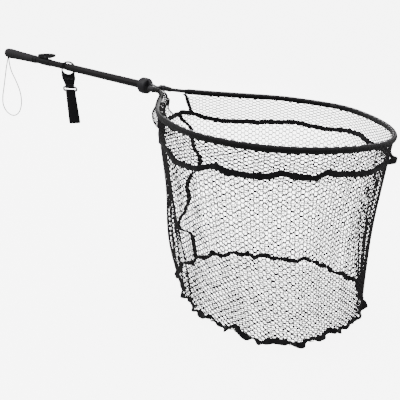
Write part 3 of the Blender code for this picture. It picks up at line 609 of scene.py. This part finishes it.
def strand_arrays(runs, radii, sides=4):
    """Points and faces of many short tubes: runs is (number, stations, 3), radii one for each station."""
    runs = np.asarray(runs, float)
    count, stations, _ = runs.shape
    along = runs[:, -1] - runs[:, 0]
    along /= np.maximum(np.linalg.norm(along, axis=1, keepdims=True), 1e-9)
    helper = np.tile((0.31, 0.22, 0.92), (count, 1))
    helper[np.abs(along[:, 2]) > 0.8] = (0.9, 0.3, 0.1)
    first = np.cross(along, helper)
    first /= np.linalg.norm(first, axis=1, keepdims=True)
    second = np.cross(along, first)
    angles = np.arange(sides) * math.tau / sides
    across = np.cos(angles)[None, :, None] * first[:, None, :]
    ring = across + np.sin(angles)[None, :, None] * second[:, None, :]
    points = runs[:, :, None, :] + np.asarray(radii)[None, :, None, None] * ring[:, None, :, :]
    grid = np.arange(count * stations * sides).reshape(count, stations, sides)
    a = grid[:, :-1, :]
    b = np.roll(a, -1, axis=2)
    d = grid[:, 1:, :]
    c = np.roll(d, -1, axis=2)
    faces = np.stack([a, b, c, d], axis=-1).reshape(-1, 4)
    return points.reshape(-1, 3), faces


def strands(name, groups, look, body):
    """One piece from several groups of short tubes: (runs, radii, sides)."""
    points = []
    faces = []
    start = 0
    for runs, radii, sides in groups:
        if len(runs) == 0:
            continue
        p, f = strand_arrays(runs, radii, sides)
        points.append(p)
        faces.append(f + start)
        start += len(p)
    return mesh_object(name, np.concatenate(points), np.concatenate(faces), look, body)


def hex_net(u_range, rows, place):
    """Joints and diagonals of a hexagonal net. place(column, row) is a point, or None off the panel."""
    seen = {}

    def at(u, r):
        key = (round(u * 6), round(r * 4))
        if key not in seen:
            seen[key] = place(u, r)
        return seen[key]

    bars = []
    diagonals = []
    for i in range(*u_range):
        for j in range(-1, rows + 1):
            r = j + 0.5 * (i % 2)
            left = at(i - BAR_HALF, r)
            right = at(i + BAR_HALF, r)
            if left and right:
                middle = (left + right) / 2
                middle.z -= 0.0002
                bars.append((left, middle, right))
            for step in (-0.5, 0.5):
                far = at(i + 1 - BAR_HALF, r + step)
                if right and far:
                    diagonals.append((right, far))
    return bars, diagonals


def grid_faces(rows, columns, closed_rows=False, closed_columns=False):
    """Quads of a grid of points, row by row."""
    faces = []
    for i in range(rows if closed_rows else rows - 1):
        for j in range(columns if closed_columns else columns - 1):
            a = i * columns + j
            b = i * columns + (j + 1) % columns
            c = ((i + 1) % rows) * columns + (j + 1) % columns
            d = ((i + 1) % rows) * columns + j
            faces.append((a, b, c, d))
    return faces


def sweep(name, path, sides, ups, section, look, body):
    """A section carried along a path. section(index, share) gives its (across, up) points, always as many."""
    points = []
    uvs = []
    run = 0.0
    count = len(path)
    for index, (at, side, up) in enumerate(zip(path, sides, ups)):
        if index:
            run += (path[index] - path[index - 1]).length
        ring = section(index, index / (count - 1))
        around = 0.0
        last = ring[0]
        for a, b in ring:
            around += math.hypot(a - last[0], b - last[1])
            last = (a, b)
            points.append(at + side * a + up * b)
            uvs.append((around, run))
    width = len(points) // count
    faces = grid_faces(count, width, False, True)
    return mesh_object(name, points, faces, look, body, uv=uvs)


def strip_section(width, thickness, crown=0.0):
    """The closed outline of a flat tape: rounded edges, with an optional crown."""
    half = width / 2
    t = thickness / 2
    top = [(-half, 0.0), (-half * 0.96, t * 0.8), (-half * 0.5, t + crown * 0.7), (0.0, t + crown),
           (half * 0.5, t + crown * 0.7), (half * 0.96, t * 0.8), (half, 0.0)]
    low = [(half * 0.96, -t * 0.8), (half * 0.5, -t + crown * 0.7), (0.0, -t + crown),
           (-half * 0.5, -t + crown * 0.7), (-half * 0.96, -t * 0.8)]
    return top + low


# ---------------------------------------------------------------- lanyard
def lanyard():
    """The thin braided loop below the butt."""
    route = smooth_route(CORD_KNOTS, CORD_POINTS)
    data = bpy.data.curves.new("lanyard", "CURVE")
    data.dimensions = "3D"
    data.bevel_depth = CORD_R
    data.bevel_resolution = 4
    data.use_fill_caps = True
    spline = data.splines.new("POLY")
    spline.points.add(len(route) - 1)
    for point, at in zip(spline.points, route):
        point.co = (*at, 1.0)
    data.materials.append(LOOKS["cord"])
    made = bpy.data.objects.new("lanyard", data)
    bpy.context.scene.collection.objects.link(made)
    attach(made, "handle")
    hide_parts("lanyard_cord")
    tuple(CORD_KNOTS[0])
    round(length_of(route), 3)


# ---------------------------------------------------------------- grip
def grip():
    """The rubber sleeve with its slanting ridges."""
    around = 96
    along = 240
    low, high = GRIP_PROFILE[0][0], GRIP_PROFILE[-1][0]
    xs = np.interp(np.linspace(0, 1, along), (0, 0.01, 0.99, 1), (low, low + 0.0006, high - 0.0006, high))
    points = []
    for index, x in enumerate(xs):
        radius = float(np.interp(x, *zip(*GRIP_PROFILE)))
        for turn in range(around):
            angle = math.tau * turn / around
            phase = (x - low) / RIDGE_PITCH - RIDGE_STARTS * turn / around
            wave = math.sin(math.tau * phase)
            groove = max(0.0, wave - 0.25) / 0.75
            inside = min(1.0, (x - low) / RIDGE_FADE, (high - x) / RIDGE_FADE)
            r = radius - RIDGE_DEPTH * max(inside, 0.0) * min(1.0, groove * 2.2)
            if index in (0, along - 1):
                r = radius - 0.0008
            points.append((x, r * math.cos(angle), r * math.sin(angle)))
    for x in (high, low):
        for turn in range(around):
            angle = math.tau * turn / around
            points.append((x, GRIP_BORE_R * math.cos(angle), GRIP_BORE_R * math.sin(angle)))
    faces = grid_faces(along + 2, around, True, True)
    made = mesh_object("grip", points, faces, "grip_rubber", "handle")
    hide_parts("grip_sleeve")


# ---------------------------------------------------------------- netting
def jitter(u, r):
    """Uneven knotting: a small shift of each joint in the net's own plane."""
    return Vector((uneven(u * 1.3, r * 1.1, 0.3), uneven(u * 1.1, r * 1.3, 9.2)))


def wall_net(name, first, last, columns):
    """A part of the wall's netting, from the hem down to the base tape."""
    rows = COLLAR_ROWS + int((NET_LOW - NET_TOP - COLLAR_ROWS * COLLAR_PITCH) / ROW_PITCH)
    near_edge_line = list(zip(*reversed([(low, at) for at, low in NOTCH_EDGE_LINE])))

    def place(u, r):
        share = u / columns
        z = -NET_TOP - min(r, COLLAR_ROWS) * COLLAR_PITCH - max(r - COLLAR_ROWS, 0.0) * ROW_PITCH
        if z > -0.0060 or z < -0.4400:
            return None
        near_edge = float(np.interp(z, *near_edge_line))
        if (share < 0.018 or share > near_edge) and z > band_middle(share) + 0.007:
            return None
        shift = jitter(u, r) * KNOT_SHIFT
        return bag_point(share + shift.x / PERIMETER, z + shift.y)

    bars, diagonals = hex_net((first, last), rows, place)
    groups = [(bars, JOINT_R, 4), (diagonals, (TWINE_R, TWINE_R), 4)]
    return strands(name, groups, "twine", "head")


def edge_distance(x, y):
    """How far inside the base loop a place is, or -1 outside it."""
    gap = math.hypot(*np.abs(BASE_XY - (x, y))[np.argmin(np.hypot(*(BASE_XY - (x, y)).T))])
    inside = False
    for (xa, ya), (xb, yb) in zip(BASE_XY, np.roll(BASE_XY, 1, axis=0)):
        if (ya > y) != (yb > y) and x < (xb - xa) * (y - ya) / (yb - ya) + xa:
            inside = not inside
    return gap if inside else -1.0


def bottom_net():
    """The bottom panel's netting."""
    low_x, low_y = BASE_XY.min(axis=0)
    high_x, high_y = BASE_XY.max(axis=0)
    columns = int((high_x - low_x) / COLUMN_PITCH) + 1
    rows = int((high_y - low_y) / ROW_PITCH) + 1

    def place(u, r):
        shift = jitter(u + 50, r + 50) * KNOT_SHIFT
        x = low_x + u * COLUMN_PITCH + shift.x
        y = low_y + r * ROW_PITCH + shift.y
        inside = edge_distance(x, y)
        if inside < 0.0:
            return None
        sag = 0.011 * min(1.0, inside / 0.12) * (1.0 + 0.4 * uneven(x * 9, y * 9, 0.4))
        return Vector((x, y, -0.4400 - sag))

    bars, diagonals = hex_net((0, columns), rows, place)
    groups = [(bars, JOINT_R, 4), (diagonals, (TWINE_R, TWINE_R), 4)]
    return strands("bottom_net", groups, "twine", "head")


CUFF_ROUTE = smooth_route(CUFF_LINE, 60)


def cuff_point(along, angle):
    """A point of the gathered sleeve of netting round the near arm."""
    place_on = along * (len(CUFF_ROUTE) - 1)
    index = min(int(place_on), len(CUFF_ROUTE) - 2)
    at = CUFF_ROUTE[index].lerp(CUFF_ROUTE[index + 1], place_on - index)
    run = (CUFF_ROUTE[index + 1] - CUFF_ROUTE[index]).normalized()
    side = Vector((-run.y, run.x, 0.0)).normalized()
    half = float(np.interp(along, np.linspace(0, 1, len(CUFF_HALF)), CUFF_HALF))
    half *= 1.0 + 0.10 * uneven(along * 9, angle, 2.0)
    return at + side * (half * math.cos(angle)) + Vector((0, 0, 0.85 * half * math.sin(angle)))


def cuff():
    """The netting gathered round the near arm up to its sleeve."""
    columns = 8
    rows = 30

    def place(u, r):
        along = r / rows
        if along < 0.0 or along > 1.0:
            return None
        shift = jitter(u + 90, r + 20) * KNOT_SHIFT
        return cuff_point(min(max(along + shift.y, 0.0), 1.0), math.tau * u / columns + 60 * shift.x)

    bars, diagonals = hex_net((0, columns), rows, place)
    groups = [(bars, CUFF_JOINT_R, 4), (diagonals, (CUFF_TWINE_R, CUFF_TWINE_R), 4)]
    return strands("cuff_net", groups, "twine", "head")


# ---------------------------------------------------------------- tapes
def tape_round(name, heights, width, thickness, waviness, crinkle, out, replaced, poke=0.0):
    """A tape sewn round the wall, waved up and down and crinkled in and out: heights(share) is its middle."""
    count = 900
    path = []
    sides = []
    ups = []
    for index in range(count + 1):
        share = index / count
        z = heights(share) + waviness * uneven(share * 48, 0.5, 3.1)
        depth_wave = crinkle * uneven(share * 75, 4.2, 0.6)
        depth_wave += poke * bell(share, *TIP_POKE_SHARE)
        point = bag_point(share, z, out + depth_wave)
        inner = bag_point(share, z, out + depth_wave - 0.01)
        outward = (point - inner).normalized()
        lean = 0.55 * uneven(share * 90, 8.8, 2.2) * (crinkle / 0.003)
        up = (Vector((0, 0, 1)) + outward * lean).normalized()
        path.append(point)
        sides.append(up)
        ups.append(outward)

    def section(index, share):
        wide = width * (1.0 + 0.22 * uneven(share * 120, 2.2, 5.0))
        full = thickness * (1.0 + 0.3 * uneven(share * 150, 7.0, 1.0))
        return strip_section(wide, full, 0.0004)

    made = sweep(name, path, sides, ups, section, "tape", "head")
    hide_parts(replaced)
    return made


def tape_down(name, line, width, thickness, out, replaced=None):
    """A tape sewn down the wall through (share, z) stations."""
    flat = smooth_route([(s * PERIMETER, z, 0.0) for s, z in line], 120)
    path = []
    sides = []
    ups = []
    for at in flat:
        share = at.x / PERIMETER
        z = at.y
        point = bag_point(share, z, out)
        across = bag_point(share + 0.002, z, out) - bag_point(share - 0.002, z, out)
        path.append(point)
        sides.append(across.normalized())
        ups.append((point - bag_point(share, z, out - 0.01)).normalized())

    def section(index, share):
        wide = width * (1.0 + 0.18 * uneven(share * 9, 1.2, 4.0))
        return strip_section(wide, thickness, 0.0005)

    made = sweep(name, path, sides, ups, section, "tape", "head")
    if replaced:
        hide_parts(replaced)
    return made


# ---------------------------------------------------------------- hem
def rim_frames(count):
    """Route and outward side along the rim."""
    route = hoop_route(count)
    sides = []
    for index in range(count):
        before = route[max(index - 1, 0)]
        after = route[min(index + 1, count - 1)]
        along = (after - before).normalized()
        sides.append(Vector((-along.y, along.x, 0.0)))
    return route, sides


def hem():
    """The cloth hem round the hoop: a wrinkled sleeve with its sewn edge hanging below."""
    route, sides = rim_frames(HEM_COUNT)
    first = int(HEM_COUNT * HEM_START)
    last = int(HEM_COUNT * HEM_END)
    path = route[first:last]
    across = sides[first:last]
    ups = [Vector((0, 0, 1))] * len(path)

    def section(index, share):
        ring = []
        near_tip = bell(share, 0.5, 0.16)
        wrinkle = (0.0004 + 0.0009 * near_tip) * uneven(share * 420, 0.4, 0.9)
        slow = 0.0004 * uneven(share * 60, 3.4, 0.9)
        for step in range(HEM_SIDES):
            angle = math.tau * step / HEM_SIDES
            a = math.cos(angle) * (HEM_CLOTH_R + wrinkle + slow)
            b = math.sin(angle) * (HEM_CLOTH_R + wrinkle + slow)
            if b < -0.002:
                fall = (-b - 0.002) / 0.005
                b -= 0.0022 * fall
                a *= 1 - 0.55 * min(fall, 1.0)
            ring.append((a, b))
        return ring

    made = sweep("hem", path, across, ups, section, "hem_cloth", "head")
    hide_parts("net_hem")


def rim_point(route, sides, at, radius, degrees):
    """A point on the hem, an angle up from its outer side."""
    angle = math.radians(degrees)
    return route[at] + sides[at] * (radius * math.cos(angle)) + Vector((0, 0, radius * math.sin(angle)))


def lacing():
    """The lacing cord that shows as dashes on the hem, and the stitched line beside it."""
    route, sides = rim_frames(LACING_COUNT)
    total = length_of(route)
    dashes = []
    number = int(total / LACING_PITCH)
    for index in range(1, number):
        middle = index / number
        if middle < 0.03 or middle > HEM_END - 0.01:
            continue
        run = []
        for step in range(len(DASH_R)):
            t = step / (len(DASH_R) - 1)
            at = int((middle + (t - 0.5) * DASH_LENGTH / total) * (LACING_COUNT - 1))
            at = min(max(at, 0), LACING_COUNT - 1)
            degrees = 122 - 10 * (t - 0.5) + 6 * uneven(index * 3.3, 0, 0)
            run.append(rim_point(route, sides, at, 0.0068 - 0.0010 * (2 * t - 1) ** 4, degrees))
        dashes.append(run)
    strands("lacing", [(dashes, DASH_R, 6)], "lacing", "head")
    line = []
    for at in range(int(LACING_COUNT * 0.025), int(LACING_COUNT * HEM_END), 4):
        line.append(rim_point(route, sides, at, 0.0066, 78 + 7 * uneven(at * 0.02, 5.0, 0)))
    strands("hem_stitches", [(list(zip(line, line[1:])), (0.0006, 0.0006), 6)], "thread", "head")


# ---------------------------------------------------------------- strap
def on_strap(x, y, z):
    """A point of the flat strap, turned about Z and moved along the tube."""
    c, s = math.cos(STRAP_TURN), math.sin(STRAP_TURN)
    x += STRAP_LEAN * max(STRAP_LEAN_Z - z, 0.0)
    return (STRAP_X + x * c - y * s, x * s + y * c, z)


def eye_point(angle, radius):
    """A point of the eye: round inside, and squared off below to run into the strap."""
    c, s = math.cos(angle), math.sin(angle)
    if s >= 0 or radius <= 0.0180:
        return radius * c, EYE_Z + radius * s
    lower = min(-s * 1.6, 1.0)
    edge_x = 0.0204 * math.copysign(min(abs(c) * 1.25, 1.0), c)
    edge_z = EYE_Z - 0.0205 * lower
    blend = (radius - EYE_R) / 0.0049
    return EYE_R * c * (1 - blend) + edge_x * blend, (EYE_Z + EYE_R * s) * (1 - blend) + edge_z * blend


def strap_eye():
    """The webbing's eye round the tube."""
    points = []
    uvs = []
    for side in (1, -1):
        for step in range(EYE_SIDES):
            for radius, y in EYE_RINGS:
                x, z = eye_point(math.tau * step / EYE_SIDES, radius)
                points.append(on_strap(x, side * y * STRAP_HALF, z))
                uvs.append((x, z))
    width = len(EYE_RINGS)
    back = EYE_SIDES * width
    faces = []
    for base in (0, back):
        for step in range(EYE_SIDES):
            after = (step + 1) % EYE_SIDES
            for k in range(width - 1):
                a, b = base + step * width + k, base + step * width + k + 1
                c, d = base + after * width + k + 1, base + after * width + k
                faces.append((a, b, c, d) if base else (d, c, b, a))
    for step in range(EYE_SIDES):
        after = (step + 1) % EYE_SIDES
        for k in (0, width - 1):
            a, b = step * width + k, after * width + k
            faces.append((a, b, back + b, back + a) if k else (back + a, back + b, b, a))
    mesh_object("strap_eye", points, faces, "webbing", "strap", uv=uvs)


def strap_axis(x, y):
    """A direction in the strap's own turned frame."""
    return Vector(on_strap(x, y, 0)) - Vector(on_strap(0, 0, 0))


def strap():
    """The flat webbing with its eye round the tube, folded round the slide's top bar."""
    strap_eye()
    steps = 30
    top = EYE_Z - 0.0195
    drop = BAR_Z[0] + 0.0010 - top
    path = [Vector(on_strap(0, 0, top + drop * step / steps)) for step in range(steps + 1)]

    def section(index, share):
        wide = 2 * float(np.interp(share, *zip(*STRAP_SIDE)))
        return strip_section(wide, 0.0026 + 0.0012 * share, 0.0002)

    sides = [strap_axis(1, 0)] * len(path)
    ups = [strap_axis(0, 1)] * len(path)
    body = sweep("strap_web", path, sides, ups, section, "webbing", "strap")
    fold_round(BAR_Z[0], 0.0138, "strap_fold", "strap")
    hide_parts("strap_loop")
    stitches = []
    for z in STITCH_ROWS:
        for step in range(9):
            x = -0.0115 + 0.023 * step / 8
            for y in (-0.0021, 0.0021):
                stitches.append([on_strap(x - 0.0010, y, z), on_strap(x + 0.0010, y, z)])
    strands("strap_stitches", [(stitches, (0.00035, 0.00035), 5)], "thread", "strap")
    slide()


def slide():
    """The moulded rectangular slide, thicker at its ends."""
    path = []
    for cx, cz, start in ((1, 1, 0), (-1, 1, 90), (-1, -1, 180), (1, -1, 270)):
        for step in range(9):
            angle = math.radians(start + 90 * step / 8)
            x = cx * (SLIDE_HALF[0] - SLIDE_CORNER) + SLIDE_CORNER * math.cos(angle)
            z = sum(BAR_Z) / 2 + cz * (SLIDE_HALF[1] - SLIDE_CORNER) + SLIDE_CORNER * math.sin(angle)
            path.append(Vector((x, 0.0, z)))
    placed = []
    sides = []
    flat = strap_axis(0, 1)
    for index, at in enumerate(path):
        run = path[(index + 1) % len(path)] - path[index - 1]
        here = Vector(on_strap(*at))
        placed.append(here)
        sides.append((Vector(on_strap(*(at + run))) - here).cross(flat).normalized())
    placed.append(placed[0])
    sides.append(sides[0])

    def section(index, share):
        at = path[index % len(path)]
        thick = 0.0019 + 0.0009 * min(abs(at.x) / 0.0150, 1.0) ** 6
        return [(thick * math.cos(math.tau * k / 14), thick * math.sin(math.tau * k / 14)) for k in range(14)]

    ups = [flat] * len(placed)
    made = sweep("slide", placed, sides, ups, section, "black_plastic", "strap")
    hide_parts("strap_ring")


def fold_round(bar_z, half, name, body):
    """Webbing folded round one bar of the slide."""
    around = 32
    inner, outer = FOLD_R
    points = []
    uvs = []
    for x, radius in ((-half, inner), (-half, outer), (half, outer), (half, inner)):
        for step in range(around):
            angle = math.tau * step / around
            points.append(on_strap(x, radius * math.cos(angle), bar_z + radius * math.sin(angle)))
            uvs.append((x, radius * angle))
    mesh_object(name, points, grid_faces(4, around, True, True), "webbing", body, uv=uvs)


def tail():
    """The doubled, puffed tail on the slide's lower bar."""
    top = BAR_Z[1] - 0.0025
    rows = 50
    around = 28
    points = []
    uvs = []
    for row in range(rows):
        t = row / (rows - 1)
        z = top - TAIL_LENGTH * t
        puff = 0.0032 + 0.0020 * math.sin(math.pi * min(t * 1.02, 1.0)) ** 0.7
        wide = TAIL_HALF * (1 + 0.19 * t)
        if t > 0.93:
            near_end = (t - 0.93) / 0.07
            fall = math.sqrt(max(1 - near_end * near_end, 0.0))
            wide *= 0.86 + 0.14 * fall
            puff *= 0.45 + 0.55 * fall
        for step in range(around):
            angle = math.tau * step / around
            c, s = math.cos(angle), math.sin(angle)
            a = wide * math.copysign(abs(c) ** 0.45, c)
            b = puff * math.copysign(abs(s) ** 0.7, s)
            b *= 1 + 0.12 * uneven(a * 160, z * 90, 0.0)
            pinch = 1 - 0.35 * bell(abs(a), 0.0140, 0.002)
            slant = -0.10 * a * max(t - 0.70, 0) / 0.30
            points.append(on_strap(a, b * pinch, z - slant))
            uvs.append((a + 0.02 * (b > 0), z))
    faces = grid_faces(rows, around, False, True)
    made = mesh_object("tail_web", points, faces, "webbing", "tail", uv=uvs)
    fold_round(BAR_Z[1], TAIL_HALF, "tail_fold", "tail")
    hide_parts("strap_tail")


# ---------------------------------------------------------------- button spring
def button_spring():
    """The spring behind the push button, in its own copy of the mesh, riding on the extension."""
    mesh = NODES["lock_spring"].data
    points = [tuple(vertex.co) for vertex in mesh.vertices]
    faces = [tuple(polygon.vertices) for polygon in mesh.polygons]
    made = mesh_object("button_spring", points, faces, "steel", "extension")
    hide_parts("lock_spring")
    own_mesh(made)


# ---------------------------------------------------------------- floor, light
def stage():
    """A plain white floor that rises to a low wall all round, and soft studio light."""
    low = CAD_BOX[0][2] - 0.012
    rings = [(0.001, 0.0), (6.0, 0.0), (9.0, 0.0), (11.0, 0.6), (12.0, 2.0), (12.4, 9.0)]
    points = []
    around = 64
    for radius, height in rings:
        for step in range(around):
            angle = math.tau * step / around
            points.append((0.8 + radius * math.cos(angle), radius * math.sin(angle), low + height))
    mesh = bpy.data.meshes.new("floor")
    mesh.from_pydata(points, [], grid_faces(len(rings), around, False, True))
    floor = bpy.data.objects.new("floor", mesh)
    bpy.context.scene.collection.objects.link(floor)
    made, nodes, _ = tree_of("floor_white")
    shader = nodes["Principled BSDF"]
    shader.inputs["Base Color"].default_value = (0.8, 0.8, 0.8, 1)
    shader.inputs["Roughness"].default_value = 1.0
    shader.inputs["Specular IOR Level"].default_value = 0.0
    shader.inputs["Emission Color"].default_value = (1, 1, 1, 1)
    shader.inputs["Emission Strength"].default_value = 6.5
    mesh.materials.append(made)
    for polygon in mesh.polygons:
        polygon.use_smooth = True
    floor.visible_diffuse = False
    floor.visible_glossy = False
    world = bpy.data.worlds.new("studio")
    bpy.context.scene.world = world
    world.use_nodes = True
    world.node_tree.nodes["Background"].inputs["Color"].default_value = (1, 1, 1, 1)
    world.node_tree.nodes["Background"].inputs["Strength"].default_value = 0.42
    lamp("key", (-0.6, -2.2, 2.4), (0.6, 0.0, -0.1), 2.2, 70.0)
    lamp("top", (0.9, 0.4, 2.6), (0.8, 0.0, 0.0), 2.4, 50.0)
    lamp("back", (-1.0, 2.4, 1.2), (0.8, 0.0, -0.1), 1.6, 30.0)


def lamp(name, place, target, size, power):
    data = bpy.data.lights.new(name, "AREA")
    data.shape = "SQUARE"
    data.size = size
    data.energy = power
    made = bpy.data.objects.new(name, data)
    bpy.context.scene.collection.objects.link(made)
    turn = (Vector(target) - Vector(place)).to_track_quat("-Z", "Y").to_matrix().to_4x4()
    made.matrix_world = Matrix.Translation(place) @ turn


def fold_down(piece):
    """Gives the piece its own copy of its mesh."""
    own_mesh(piece)


# ---------------------------------------------------------------- the whole net
lanyard()
paint_nodes()
grip()
COLUMNS = 2 * round(PERIMETER / COLUMN_PITCH / 2)
far_net = wall_net("wall_net_far", 0, COLUMNS // 2, COLUMNS)
near_net = wall_net("wall_net_near", COLUMNS // 2, COLUMNS, COLUMNS)
base_net = bottom_net()
band = tape_round("band", band_middle, 0.0130, 0.0045, 0.0030, 0.0020, 0.0016, "band_tape", 0.016)
base = tape_round("base_band", lambda s: -0.4350, 0.0125, 0.0050, 0.014, 0.0120, 0.0010, "base_tape")
seam = tape_down("seam", SEAM_LINE, 0.0115, 0.0060, 0.0040, "seam_tape")
edge = tape_down("hem_edge", HEM_EDGE_LINE, 0.0100, 0.0050, 0.0035, "hem_tape")
hem()
lacing()
gathered = cuff()
notch_edge = tape_down("notch_edge", NOTCH_EDGE_LINE, 0.0050, 0.0040, 0.0015)
strap()
tail()
button_spring()
stage()
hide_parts("net_collar", "net_wall")
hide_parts("net_bottom")
for soft in (far_net, near_net, base_net, band, base, seam, edge, gathered, notch_edge):
    fold_down(soft)
